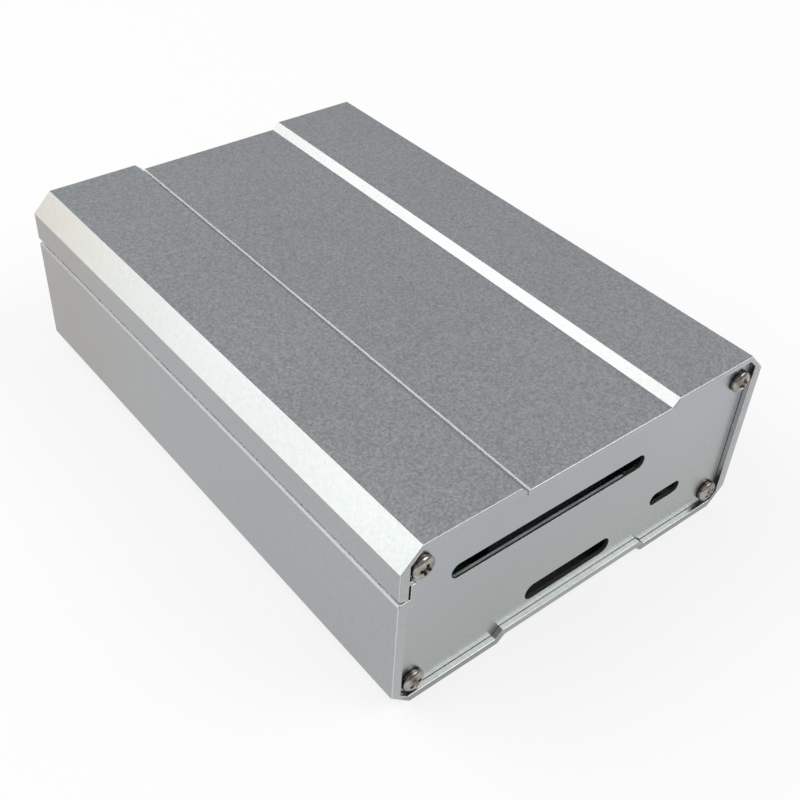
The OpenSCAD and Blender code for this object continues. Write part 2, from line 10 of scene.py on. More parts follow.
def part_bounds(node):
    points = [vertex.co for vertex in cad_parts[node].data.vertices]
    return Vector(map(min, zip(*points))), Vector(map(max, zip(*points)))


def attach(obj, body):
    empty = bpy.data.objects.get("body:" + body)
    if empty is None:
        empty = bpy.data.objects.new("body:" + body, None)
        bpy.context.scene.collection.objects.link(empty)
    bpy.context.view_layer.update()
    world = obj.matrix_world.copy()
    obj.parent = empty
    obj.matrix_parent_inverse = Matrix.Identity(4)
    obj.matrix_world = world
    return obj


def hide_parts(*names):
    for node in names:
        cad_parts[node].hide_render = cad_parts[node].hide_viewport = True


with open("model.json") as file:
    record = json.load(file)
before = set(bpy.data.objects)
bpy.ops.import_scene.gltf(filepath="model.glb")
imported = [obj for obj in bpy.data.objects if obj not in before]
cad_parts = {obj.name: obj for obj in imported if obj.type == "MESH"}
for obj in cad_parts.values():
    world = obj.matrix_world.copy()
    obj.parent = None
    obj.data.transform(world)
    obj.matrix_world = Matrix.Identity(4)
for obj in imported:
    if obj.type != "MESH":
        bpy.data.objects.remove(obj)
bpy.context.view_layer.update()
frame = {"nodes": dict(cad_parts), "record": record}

MM = 0.001
X_AXIS, Y_AXIS, Z_AXIS = Vector((1, 0, 0)), Vector((0, 1, 0)), Vector((0, 0, 1))
nodes = frame["nodes"]
scene = bpy.context.scene


def box_mm(node):
    """A node's lowest and highest corners in millimetres."""
    low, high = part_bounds(node)
    return Vector(low) / MM, Vector(high) / MM


# Planes across the case that its finishes follow, as distances from its middle in millimetres

CASE_END = box_mm("bottom_shell")[1].y
PLATE_BACK = box_mm("rear_plate")[0].y
PLATE_FACE = box_mm("rear_plate")[1].y
NEAR = 0.05


# Node trees

def new_tree(name):
    """A material, its tree and its output, which is all that the tree holds."""
    mat = bpy.data.materials.new(name)
    mat.use_nodes = True
    tree = mat.node_tree
    tree.nodes.clear()
    return mat, tree, tree.nodes.new("ShaderNodeOutputMaterial")


def put(tree, kind, inputs=None, **settings):
    """A node with its settings and its inputs, which are values, colours or sockets to link."""
    made = tree.nodes.new(kind)
    for key, value in settings.items():
        setattr(made, key, value)
    for key, value in (inputs or {}).items():
        socket = made.inputs[key]
        if isinstance(value, bpy.types.NodeSocket):
            tree.links.new(value, socket)
        elif socket.type == "RGBA":
            socket.default_value = (*value, 1.0)
        else:
            socket.default_value = value
    return made


def math_node(tree, operation, a, b=0.0):
    return put(tree, "ShaderNodeMath", {0: a, 1: b}, operation=operation).outputs[0]


def plus(tree, a, b):
    return math_node(tree, "ADD", a, b)


def minus(tree, a, b):
    return math_node(tree, "SUBTRACT", a, b)


def times(tree, a, b):
    return math_node(tree, "MULTIPLY", a, b)


def absolute(tree, value):
    return math_node(tree, "ABSOLUTE", value)


def above(tree, value, limit):
    """1 where the value is greater than its limit, and 0 elsewhere."""
    return math_node(tree, "GREATER_THAN", value, limit)


def below(tree, value, limit):
    """1 where the value is less than its limit, and 0 elsewhere."""
    return math_node(tree, "LESS_THAN", value, limit)


def within(tree, *bounds):
    """1 where each value lies between its two limits in millimetres, and 0 elsewhere."""
    mask = None
    for value, low, high in bounds:
        held = times(tree, above(tree, value, low * MM), below(tree, value, high * MM))
        mask = held if mask is None else times(tree, mask, held)
    return mask


def remap(tree, value, low, high, to_low, to_high):
    return put(tree, "ShaderNodeMapRange", {0: value, 1: low, 2: high, 3: to_low, 4: to_high}).outputs[0]


def fade(tree, value, start, end, to_start=0.0, to_end=1.0):
    """Runs from one value to the other between two places in millimetres."""
    return remap(tree, value, start * MM, end * MM, to_start, to_end)


def spread(tree, value, low, high, reach=0.2):
    """Noise stretched so that what lies within a reach of its middle runs from low to high."""
    return remap(tree, value, 0.5 - reach, 0.5 + reach, low, high)


def choose(tree, mask, off, on):
    """One number where the mask is 0, and another where it is 1."""
    return remap(tree, mask, 0.0, 1.0, off, on)


def mix_value(tree, factor, a, b):
    return put(tree, "ShaderNodeMix", {0: factor, 2: a, 3: b}, data_type="FLOAT").outputs[0]


def blend(tree, factor, a, b, mode="MIX"):
    """Colour a mixed with colour b."""
    return put(tree, "ShaderNodeMix", {0: factor, 6: a, 7: b}, data_type="RGBA", blend_type=mode).outputs[2]


def shaded(tree, colour, shade):
    """A colour, times a shade."""
    return blend(tree, 1.0, colour, shade, "MULTIPLY")


def axes_of(tree, vector):
    """The X, Y and Z of a vector."""
    return put(tree, "ShaderNodeSeparateXYZ", {0: vector}).outputs


def object_place(tree):
    """Place on the object, as a vector and as its X, Y and Z."""
    coords = put(tree, "ShaderNodeTexCoord").outputs["Object"]
    return (coords, *axes_of(tree, coords))


def noise(tree, coords, scale, detail=2.0, rough=0.5):
    made = put(
        tree, "ShaderNodeTexNoise", {"Vector": coords, "Scale": scale, "Detail": detail, "Roughness": rough}
    )
    return made.outputs["Fac"]


def stretched(tree, coords, scale):
    """Noise drawn out along the axes with a small scale."""
    return noise(tree, put(tree, "ShaderNodeMapping", {"Vector": coords, "Scale": scale}).outputs[0], 1.0)


def relief(tree, height, strength, depth):
    """Normal of a surface with a relief of some depth in millimetres."""
    made = put(tree, "ShaderNodeBump", {"Height": height, "Strength": strength, "Distance": depth * MM})
    return made.outputs[0]


def surface(tree, out, inputs):
    """Ends a tree with one shader."""
    shader = put(tree, "ShaderNodeBsdfPrincipled", inputs)
    tree.links.new(shader.outputs[0], out.inputs[0])


# Materials, with places in millimetres and noise scales per metre

# Aluminium: its grain, and the painted shade and highlight that vary the shells' faces by the way they face
FINE_GRAIN = 3000.0
COARSE_GRAIN = 1300.0
CLOUDS = 45.0
CLOUD_SHADE = 0.02
FINE_REACH = 0.25
GRAIN_LIFT = 0.1
SQUARE_ON = 0.95
SIDE_GRAIN = 0.4
# Painted shade on the upright sides, and a painted highlight on edge facets that lean towards the ends
PAINTED_SIDE_SHADE = 0.86
EDGE_LEAN = 0.4
PAINTED_EDGE_HIGHLIGHT = 1.3

# Shells: painted shade and light at the joints, and a painted warm reflection on the left side's back
# Painted shade on the slope at the foot of the top joint, deepest next to the joint
SEAM_X, SEAM_Z = (-14.0, -12.7), (26.0, 28.4)
SEAM_FADE = (-13.8, -13.3)
PAINTED_SEAM_SHADE = 0.6
# Painted light that lifts the shade in the left joint's groove
GROOVE_X, GROOVE_Z = (-31.27, -30.4), (20.19, 21.04)
PAINTED_GROOVE_LIGHT = 1.8
# Painted shade that dims the highlight on the left joint's bevel
BEVEL_X, BEVEL_Z = (-31.49, -31.2), (19.9, 20.2)
PAINTED_BEVEL_SHADE = 0.72
# Painted reflection: the left side warmer and a little darker towards its back
PAINTED_REFLECTION_X, PAINTED_REFLECTION_Y = (-32.0, -28.0), (5.0, 38.0)

# Shells: limits of the profile's inside, marks of drawing and sawing, painted shadow low on the sawn ends
SUNKEN_TOP = 1.6
FACING_DOWN = -0.3
INNER_FLOOR, INNER_TOP, INNER_HALF = 0.6, 26.9, 30.8
LOW_SLOPE, HIGH_SLOPE = 28.1, 56.4
DRAW_SCALE, DRAW_SHADES = (2600.0, 40.0, 2600.0), (0.92, 1.08)
SAWN_DEPTH = 0.04
SAW_SCALE, SAW_SHADES = (120.0, 1.0, 3500.0), (0.94, 1.05)
# Heights over which painted shadow darkens the sawn ends towards the floor
FOOT_FADE, PAINTED_FOOT_SHADOW = (1.2, 2.2), 0.7


def inner_mask(tree, across, height, face_up):
    """1 on the walls inside the shells' profile, and 0 on the skin and the sunken underside."""
    under = times(tree, below(tree, face_up, FACING_DOWN), below(tree, height, SUNKEN_TOP * MM))
    mask = times(tree, above(tree, height, INNER_FLOOR * MM), minus(tree, 1.0, under))
    for reach, limit in (
        (across, INNER_HALF), (minus(tree, across, height), LOW_SLOPE),
        (plus(tree, across, height), HIGH_SLOPE), (height, INNER_TOP),
    ):
        mask = times(tree, mask, below(tree, reach, limit * MM))
    return mask


def blasted_metal(name, tone, rough, grain):
    """Bead-blasted, anodised aluminium: as drawn inside the profile, and sawn bare at both ends."""
    painted_reflection_tone = (0.448, 0.433, 0.424)
    inner_tone = (0.55, 0.56, 0.57)
    deep_tone = (0.86, 0.87, 0.88)
    cut_tone = (0.425, 0.435, 0.44)
    inner_rough, cut_rough = 0.28, 0.34
    mat, tree, out = new_tree(name)
    coords, x, y, height = object_place(tree)
    across, along = absolute(tree, x), absolute(tree, y)
    face_x, face_y, face_up = axes_of(tree, put(tree, "ShaderNodeNewGeometry").outputs["True Normal"])
    level = above(tree, absolute(tree, face_up), SQUARE_ON)
    upright = above(tree, absolute(tree, face_x), SQUARE_ON)
    lean = absolute(tree, face_y)

    lift = (0.0, 0.0, GRAIN_LIFT * MM)
    lifted = put(tree, "ShaderNodeMapping", {"Vector": coords, "Location": lift}).outputs[0]
    fine = noise(tree, lifted, FINE_GRAIN, detail=1.0, rough=0.6)
    coarse = noise(tree, lifted, COARSE_GRAIN, detail=1.0)
    cloud = spread(tree, noise(tree, coords, CLOUDS), -CLOUD_SHADE, CLOUD_SHADE)
    speck = spread(tree, fine, -grain, grain, FINE_REACH)
    speck = plus(tree, speck, spread(tree, coarse, -grain / 4, grain / 4))
    speck = times(tree, speck, choose(tree, level, SIDE_GRAIN, 1.0))
    shade = plus(tree, plus(tree, speck, 1.0), cloud)
    # Painted shade on the slope beside the top joint, growing towards the joint
    painted_seam_shade = times(tree, within(tree, (x, *SEAM_X), (height, *SEAM_Z)), fade(tree, x, *SEAM_FADE))
    for mask, factor in (
        # painted shade that darkens the upright sides
        (upright, PAINTED_SIDE_SHADE),
        # painted shade on the slope at the foot of the top joint
        (painted_seam_shade, PAINTED_SEAM_SHADE),
        # painted highlight on the edge facets that lean towards the ends
        (times(tree, above(tree, lean, EDGE_LEAN), below(tree, lean, SQUARE_ON)), PAINTED_EDGE_HIGHLIGHT),
        # painted light in the left joint's groove
        (within(tree, (x, *GROOVE_X), (height, *GROOVE_Z)), PAINTED_GROOVE_LIGHT),
        # painted shade that dims the left joint's bevel
        (within(tree, (x, *BEVEL_X), (height, *BEVEL_Z)), PAINTED_BEVEL_SHADE),
    ):
        shade = times(tree, shade, choose(tree, mask, 1.0, factor))
    # Painted reflection, warmer and a little darker towards the back of the left side, off its level faces
    painted_reflection = times(tree, within(tree, (x, *PAINTED_REFLECTION_X)), fade(tree, y, *PAINTED_REFLECTION_Y))
    painted_reflection = times(tree, painted_reflection, minus(tree, 1.0, level))
    skin = shaded(tree, blend(tree, painted_reflection, tone, painted_reflection_tone), shade)

    inside = inner_mask(tree, across, height, face_up)
    drawn_tone = blend(tree, below(tree, along, (PLATE_BACK - NEAR) * MM), inner_tone, deep_tone)
    drawn_skin = shaded(tree, drawn_tone, spread(tree, stretched(tree, coords, DRAW_SCALE), *DRAW_SHADES))

    at_end = above(tree, along, (CASE_END - SAWN_DEPTH) * MM)
    saw_lines = spread(tree, stretched(tree, coords, SAW_SCALE), *SAW_SHADES)
    # painted shadow that darkens the sawn ends towards the floor
    sawn = shaded(tree, cut_tone, times(tree, saw_lines, fade(tree, height, *FOOT_FADE, PAINTED_FOOT_SHADOW, 1.0)))

    rough_skin = spread(tree, fine, rough - 0.05, rough + 0.06)
    surface(tree, out, {
        "Base Color": blend(tree, at_end, blend(tree, inside, skin, drawn_skin), sawn),
        "Metallic": 1.0,
        "Roughness": mix_value(tree, at_end, mix_value(tree, inside, rough_skin, inner_rough), cut_rough),
        "Normal": relief(tree, plus(tree, fine, coarse), strength=0.2, depth=0.04),
    })
    return mat


# Heights between which painted shade makes the plate darker and greener towards the bottom
PAINTED_SHADE_Z = (6.0, 22.0)
# Painted highlight along the back of the long slot's lower wall: its depth, X and height
SLOT_HIGHLIGHT_DEPTH = 0.39
SLOT_HIGHLIGHT_X, SLOT_HIGHLIGHT_Z = (-25.0, 7.0), (17.7, 17.95)
MILL_SCALE, MILL_SHADES = (300.0, 5200.0, 300.0), (0.75, 1.25)


def sheet_metal(name, painted_shade_low_tone, tone, rough, grain):
    """Satin aluminium sheet: painted shade low down and in slots, a painted highlight on the long slot's
    lower wall.
    """
    # painted shade on the walls of the slots
    painted_slot_shade_tone = (0.085, 0.09, 0.087)
    painted_highlight_tone = (0.60, 0.61, 0.62)
    wall_rough = 0.72
    mat, tree, out = new_tree(name)
    coords, x, y, height = object_place(tree)
    along = absolute(tree, y)
    fine = noise(tree, coords, FINE_GRAIN, detail=1.0, rough=0.6)
    cloud = spread(tree, noise(tree, coords, CLOUDS), -CLOUD_SHADE, CLOUD_SHADE)
    shade = plus(tree, spread(tree, fine, 1.0 - grain, 1.0 + grain, FINE_REACH), cloud)
    # painted shade, darker and greener towards the bottom of the plate
    skin = shaded(tree, blend(tree, fade(tree, height, *PAINTED_SHADE_Z), painted_shade_low_tone, tone), shade)
    in_wall = within(tree, (along, PLATE_BACK + NEAR, PLATE_FACE - NEAR))
    # painted highlight along the back of the long slot's lower wall
    painted_highlight = within(tree, (along, PLATE_BACK + NEAR, PLATE_BACK + SLOT_HIGHLIGHT_DEPTH), (x, *SLOT_HIGHLIGHT_X), (height, *SLOT_HIGHLIGHT_Z))
    mill_lines = spread(tree, stretched(tree, coords, MILL_SCALE), *MILL_SHADES)
    # milling marks over painted shade and the painted highlight on the slot walls
    milled_and_painted_walls = shaded(tree, blend(tree, painted_highlight, painted_slot_shade_tone, painted_highlight_tone), mill_lines)
    rough_skin = spread(tree, fine, rough - 0.04, rough + 0.04)
    surface(tree, out, {
        "Base Color": blend(tree, in_wall, skin, milled_and_painted_walls),
        "Metallic": 1.0,
        "Roughness": mix_value(tree, in_wall, rough_skin, wall_rough),
        "Normal": relief(tree, fine, strength=0.3, depth=0.02),
    })
    return mat


MOTTLE_SCALE = 1500.0


def plain(name, tone, rough, metallic=0.0, mottle=0.06, coat=0.0):
    """A moulded, plated or cast surface with a fine mottle in its colour, gloss and height."""
    mat, tree, out = new_tree(name)
    coords = put(tree, "ShaderNodeTexCoord").outputs["Object"]
    fine = noise(tree, coords, MOTTLE_SCALE, detail=3.0, rough=0.6)
    broad = noise(tree, coords, MOTTLE_SCALE / 10)
    shade = plus(
        tree, spread(tree, fine, 1.0 - mottle, 1.0 + mottle), spread(tree, broad, -mottle / 2, mottle / 2)
    )
    surface(tree, out, {
        "Base Color": shaded(tree, tone, shade),
        "Metallic": metallic,
        "Roughness": spread(tree, broad, rough - 0.06, rough + 0.06),
        "Normal": relief(tree, fine, strength=0.15, depth=0.01),
        "Coat Weight": coat,
    })
    return mat


# Heights above the plate over which the painted shade on a screw head's rim fades out
PAINTED_RIM_SHADE_HEIGHTS = (0.01, 0.43)
PLATING_SCALE, PLATING_SHADES = 2600.0, (0.86, 1.14)
STAIN_SCALE, STAIN_SHADES = 850.0, (0.55, 1.35)


def pan_head(name, tone, rough, painted_rim_shade_tone):
    """Plated steel, bright on the crown of a screw head, with painted shade darkening the rim down to its
    seat.
    """
    mat, tree, out = new_tree(name)
    coords, _, y, _ = object_place(tree)
    fine = noise(tree, coords, PLATING_SCALE, rough=0.6)
    stain = spread(tree, noise(tree, coords, STAIN_SCALE, detail=1.0), *STAIN_SHADES, reach=0.15)
    bright = shaded(tree, tone, times(tree, spread(tree, fine, *PLATING_SHADES), stain))
    # painted shade on the rim, fading out towards the crown
    crown = fade(tree, absolute(tree, y), *(PLATE_FACE + rise for rise in PAINTED_RIM_SHADE_HEIGHTS))
    surface(tree, out, {
        "Base Color": blend(tree, crown, painted_rim_shade_tone, bright),
        "Metallic": 1.0,
        "Roughness": spread(tree, fine, rough - 0.04, rough + 0.06),
        "Normal": relief(tree, fine, strength=0.25, depth=0.03),
    })
    return mat


TRACE_PITCH = 0.62
TRACE_GAP = 0.09
TRACE_LENGTHS = (5.0, 8.0)
FIELD_SCALE = 130.0
LACQUER_SCALE, LACQUER_SHADES, LACQUER_ROUGH = 900.0, (0.88, 1.12), (0.26, 0.38)
BOARD_FACE = 0.5


def board_lacquer(name, tone, trace_tone, edge_tone):
    """Solder mask over copper traces that run in two directions, and bare laminate at the edge."""
    mat, tree, out = new_tree(name)
    coords = put(tree, "ShaderNodeTexCoord").outputs["Object"]
    quarter = (0.0, 0.0, math.radians(90))
    turned = put(tree, "ShaderNodeMapping", {"Vector": coords, "Rotation": quarter}).outputs[0]
    runs = []
    for vector, length in zip((coords, turned), TRACE_LENGTHS):
        made = put(tree, "ShaderNodeTexBrick", {
            "Vector": vector, "Scale": 1 / MM, "Mortar Size": TRACE_GAP, "Mortar Smooth": 0.2,
            "Brick Width": length, "Row Height": TRACE_PITCH,
        })
        runs.append(made.outputs["Fac"])
    field = spread(tree, noise(tree, coords, FIELD_SCALE, detail=1.0), 0.0, 1.0, reach=0.03)
    traces = mix_value(tree, field, *runs)
    mottle = noise(tree, coords, LACQUER_SCALE, detail=3.0, rough=0.6)
    base = shaded(tree, tone, spread(tree, mottle, *LACQUER_SHADES))
    face_up = axes_of(tree, put(tree, "ShaderNodeNewGeometry").outputs["Normal"])["Z"]
    flat = above(tree, absolute(tree, face_up), BOARD_FACE)
    surface(tree, out, {
        "Base Color": blend(tree, flat, edge_tone, blend(tree, traces, base, trace_tone)),
        "Roughness": spread(tree, mottle, *LACQUER_ROUGH),
        "Normal": relief(tree, traces, strength=0.5, depth=0.03),
    })
    return mat


SLOT_MATERIALS = {
    "shell": blasted_metal("shell_metal", tone=(0.455, 0.47, 0.485), rough=0.38, grain=0.22),
    "plate": sheet_metal(
        "plate_metal", painted_shade_low_tone=(0.374, 0.398, 0.385), tone=(0.398, 0.417, 0.437), rough=0.29, grain=0.03,
    ),
    "screw": pan_head("nickel", tone=(0.29, 0.27, 0.245), rough=0.16, painted_rim_shade_tone=(0.07, 0.064, 0.058)),
    "board": board_lacquer(
        "lacquer", tone=(0.015, 0.13, 0.05), trace_tone=(0.04, 0.24, 0.10), edge_tone=(0.16, 0.19, 0.08),
    ),
    "chip": plain("epoxy", (0.014, 0.014, 0.016), rough=0.5),
    "black_plastic": plain("black_plastic", (0.012, 0.012, 0.013), rough=0.42),
    "white_plastic": plain("white_plastic", (0.62, 0.61, 0.58), rough=0.45),
    "contact": plain("gilt", (0.75, 0.55, 0.22), rough=0.25, metallic=1.0),
    "tin": plain("tinned", (0.55, 0.55, 0.54), rough=0.30, metallic=1.0, mottle=0.05),
    "can": plain("drawn", (0.55, 0.56, 0.57), rough=0.28, metallic=1.0, mottle=0.05),
    "light": plain("clear_cast", (0.55, 0.62, 0.45), rough=0.2, coat=0.5),
}
card_resin = plain("card_resin", (0.09, 0.117, 0.093), rough=0.5)
film_resin = plain("film_resin", (0.15, 0.165, 0.18), rough=0.5)
NODE_MATERIALS = {"memory_card": card_resin, "display_connector": film_resin, "camera_connector": film_resin}

for part in frame["record"]["subparts"]:
    node = part["node"]
    nodes[node].data.materials.clear()
    nodes[node].data.materials.append(NODE_MATERIALS.get(node, SLOT_MATERIALS[part["material_slot"]]))


# Edges of the CAD nodes, broken as a tool leaves them, with widths in millimetres

SHARP = math.radians(60)
FLAT = math.radians(0.5)
SAME_POINT = 0.001
SHELL_SHARE = 0.2
OPENINGS_X, OPENINGS_Y, OPENINGS_Z = (26.0, 31.3), (0.0, 43.0), (5.0, 20.0)
SHELL_EDGES = {"top_shell": 0.12, "bottom_shell": 0.17}
OTHER_EDGES = {
    "front_plate": 0.04, "rear_plate": 0.04, "network_socket": 0.2, "double_port_left": 0.2,
    "double_port_right": 0.2, "contact_tongues": 0.25, "video_socket": 0.12, "power_socket": 0.1,
    "audio_socket": 0.25, "header_strip": 0.2, "header_pins": 0.12, "display_connector": 0.15,
    "camera_connector": 0.15, "processor": 0.12, "memory_chip": 0.1, "network_chip": 0.1,
    "power_coils": 0.3, "clock_crystal": 0.2, "memory_card": 0.12, "status_lights": 0.08,
}


def weigh_edges(obj):
    """Bevel weights of sharp edges: full at the sawn ends, a share elsewhere, none in the side openings."""
    tree = bpy.data.node_groups.new(obj.name + "_edges", "GeometryNodeTree")
    for way in ("INPUT", "OUTPUT"):
        tree.interface.new_socket("Geometry", in_out=way, socket_type="NodeSocketGeometry")
    x, y, height = axes_of(tree, put(tree, "GeometryNodeInputPosition").outputs[0])
    along = absolute(tree, y)
    at_end = within(tree, (along, CASE_END - NEAR, CASE_END + NEAR))
    in_opening = within(tree, (x, *OPENINGS_X), (along, *OPENINGS_Y), (height, *OPENINGS_Z))
    weight = above(tree, put(tree, "GeometryNodeInputMeshEdgeAngle").outputs["Unsigned Angle"], SHARP)
    weight = times(tree, weight, choose(tree, at_end, SHELL_SHARE, 1.0))
    weight = times(tree, weight, minus(tree, 1.0, in_opening))
    shape = tree.nodes.new("NodeGroupInput").outputs[0]
    stored = put(
        tree, "GeometryNodeStoreNamedAttribute",
        {"Geometry": shape, "Name": "bevel_weight_edge", "Value": weight}, data_type="FLOAT", domain="EDGE",
    )
    tree.links.new(stored.outputs[0], tree.nodes.new("NodeGroupOutput").inputs[0])
    obj.modifiers.new("weights", "NODES").node_group = tree


def clean_faces(obj):
    """Joins the mesh's points and flat faces, so that only real edges are left to bevel."""
    weld = obj.modifiers.new("weld", "WELD")
    weld.merge_threshold = SAME_POINT * MM
    flats = obj.modifiers.new("flats", "DECIMATE")
    flats.decimate_type = "DISSOLVE"
    flats.angle_limit = FLAT


def bevel(obj, width, segments):
    edge = obj.modifiers.new("edge", "BEVEL")
    edge.width = width * MM
    edge.segments = segments
    edge.harden_normals = True
    return edge


for node, width in SHELL_EDGES.items():
    clean_faces(nodes[node])
    weigh_edges(nodes[node])
    edge = bevel(nodes[node], width, 1)
    edge.limit_method = "WEIGHT"
    edge.use_clamp_overlap = False
for node, width in OTHER_EDGES.items():
    clean_faces(nodes[node])
    edge = bevel(nodes[node], width, 2)
    edge.limit_method = "ANGLE"
    edge.angle_limit = SHARP


# New pieces, drawn in millimetres

def piece(name, slot, fill, sharp=35.0):
    """A piece that rides on the case, from a function that fills its mesh."""
    bm = bmesh.new()
    fill(bm)
    bmesh.ops.recalc_face_normals(bm, faces=bm.faces)
    bmesh.ops.scale(bm, vec=(MM, MM, MM), verts=bm.verts)
    mesh = bpy.data.meshes.new(name)
    bm.to_mesh(mesh)
    bm.free()
    mesh.shade_smooth()
    mesh.set_sharp_from_angle(angle=math.radians(sharp))
    mesh.materials.append(SLOT_MATERIALS[slot])
    obj = bpy.data.objects.new(name, mesh)
    scene.collection.objects.link(obj)
    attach(obj, "root")
    return obj


def circle(radius, sides, shift=0.0):
    """Points round a circle, turned on by a share of one side."""
    angles = [2 * math.pi * (k + shift) / sides for k in range(sides)]
    return [(radius * math.cos(a), radius * math.sin(a)) for a in angles]


def skin_rings(bm, rings):
    """Faces between rings of points, with a lid on the first and the last."""
    rows = [[bm.verts.new(point) for point in ring] for ring in rings]
    count = len(rows[0])
    for lower, upper in zip(rows, rows[1:]):
        for i in range(count):
            j = (i + 1) % count
            bm.faces.new((lower[i], lower[j], upper[j], upper[i]))
    bm.faces.new(rows[0])
    bm.faces.new(rows[-1])


def leaf(bm, path, start, depth_axis, height_axis, width_axis, width, thick):
    """A bent strip of sheet along a path of (depth, height) points."""
    points = [Vector(p) for p in path]
    rings = []
    for i, point in enumerate(points):
        run = points[min(i + 1, len(points) - 1)] - points[max(i - 1, 0)]
        across = Vector((-run.y, run.x)).normalized() * thick / 2
        corners = []
        for side, way in ((-1, -1), (1, -1), (1, 1), (-1, 1)):
            flat = point + way * across
            corners.append(
                start + depth_axis * flat.x + height_axis * flat.y + width_axis * side * width / 2
            )
        rings.append(corners)
    skin_rings(bm, rings)


def brick(bm, low, high, cut):
    """A block with its edges bevelled by a cut."""
    low, high = Vector(low), Vector(high)
    size = high - low
    made = bmesh.ops.create_cube(
        bm, size=1.0, matrix=Matrix.Translation((low + high) / 2) @ Matrix.Diagonal((*size, 1.0))
    )
    edges = list({edge for vert in made["verts"] for edge in vert.link_edges})
    bmesh.ops.bevel(bm, geom=edges, offset=cut, segments=2, profile=0.5, affect="EDGES")


# Plate screws, with a domed head, a tapered cross recess and a thread

HEAD_R = 1.65
HEAD_RIM = 0.42
HEAD_CHAMFER = 0.1
DOME_STEPS = 18
CROSS_R = 0.98
CROSS_HALF = 0.26
CROSS_DEPTH = 0.7
CROSS_ABOVE = 0.5
CROSS_MOUTH = (1.3, 1.2)
CROSS_FLOOR = (0.55, 0.7)
CROSS_TURNS = (20, -14, 37, 6)
CONE_MOUTH_R = 0.78
CONE_FLOOR_R = 0.24
CONE_DEPTH = 0.76
CONE_SIDES = 16
SHANK_R = 1.15
PLAIN_NECK = 0.8
THREAD_ROOT = 0.95
THREAD_PITCH = 0.6
THREAD_STEPS = 6
TIP_L = 0.3
TIP_R = 0.8
SCREW_SIDES = 64
SCREW_SHARP = 40.0
TOUCHING = 1e-4


def carve(bm, body, cutter):
    """Adds to bm a filled bmesh with another one cut out of it, and frees both."""
    made = []
    for source in (body, cutter):
        bmesh.ops.recalc_face_normals(source, faces=source.faces)
        mesh = bpy.data.meshes.new("carving")
        source.to_mesh(mesh)
        source.free()
        made.append(bpy.data.objects.new("carving", mesh))
        scene.collection.objects.link(made[-1])
    cut = made[0].modifiers.new("cut", "BOOLEAN")
    cut.object = made[1]
    cut.operation = "DIFFERENCE"
    cut.solver = "EXACT"
    cut.use_self = True
    result = bpy.data.meshes.new_from_object(made[0].evaluated_get(bpy.context.evaluated_depsgraph_get()))
    bm.from_mesh(result)
    for mesh in (made[0].data, made[1].data, result):
        bpy.data.meshes.remove(mesh)


def screw_ring(x, y, z, radius_at):
    """Ring of points across a screw's axis, from its radius at each angle."""
    angles = [2 * math.pi * k / SCREW_SIDES for k in range(SCREW_SIDES)]
    return [(x + radius_at(a) * math.cos(a), y, z + radius_at(a) * math.sin(a)) for a in angles]


def screw_head(bm, x, z, seat, out, height):
    """Head that rises from its seat towards out, with the plain neck below it."""
    profile = []
    for step in range(1, DOME_STEPS + 1):
        slant = math.pi / 2 * step / DOME_STEPS
        profile.append((HEAD_R * math.sin(slant), HEAD_RIM + (height - HEAD_RIM) * math.cos(slant)))
    profile += [(HEAD_R, HEAD_CHAMFER), (HEAD_R - HEAD_CHAMFER, 0.0), (SHANK_R, 0.0), (SHANK_R, -PLAIN_NECK)]
    skin_rings(bm, [screw_ring(x, seat + out * rise, z, lambda a, r=radius: r) for radius, rise in profile])


def screw_thread(bm, x, z, seat, out, length):
    """Threaded shank from the neck's end down to the tip."""
    rings = [screw_ring(x, seat - out * PLAIN_NECK, z, lambda a: SHANK_R)]
    depth = PLAIN_NECK
    while depth < length - TIP_L:
        depth += THREAD_PITCH / THREAD_STEPS

        def radius_at(angle, depth=depth):
            phase = (depth / THREAD_PITCH + angle / (2 * math.pi)) % 1.0
            return THREAD_ROOT + (SHANK_R - THREAD_ROOT) * abs(2 * phase - 1)

        rings.append(screw_ring(x, seat - out * depth, z, radius_at))
    rings.append(screw_ring(x, seat - out * length, z, lambda a: TIP_R))
    skin_rings(bm, rings)


def screw_recess(bm, x, z, crown, out, turn):
    """Two tapered bars and a cone that leave a cross recess below the crown."""
    def put_ring(flat, rise):
        points = []
        for dx, dz in flat:
            across = dx * math.cos(turn) - dz * math.sin(turn)
            up = dx * math.sin(turn) + dz * math.cos(turn)
            points.append((x + across, crown + out * rise, z + up))
        return points

    for swapped in (False, True):
        rings = []
        for rise, (long, wide) in ((CROSS_ABOVE, CROSS_MOUTH), (-CROSS_DEPTH, CROSS_FLOOR)):
            half_l, half_w = CROSS_R * long, CROSS_HALF * wide
            flat = [(-half_l, -half_w), (half_l, -half_w), (half_l, half_w), (-half_l, half_w)]
            rings.append(put_ring([(b, -a) if swapped else (a, b) for a, b in flat], rise))
        skin_rings(bm, rings)
    cone = ((CONE_MOUTH_R, CROSS_ABOVE), (CONE_FLOOR_R, -CONE_DEPTH))
    skin_rings(bm, [put_ring(circle(radius, CONE_SIDES, 0.5), rise) for radius, rise in cone])


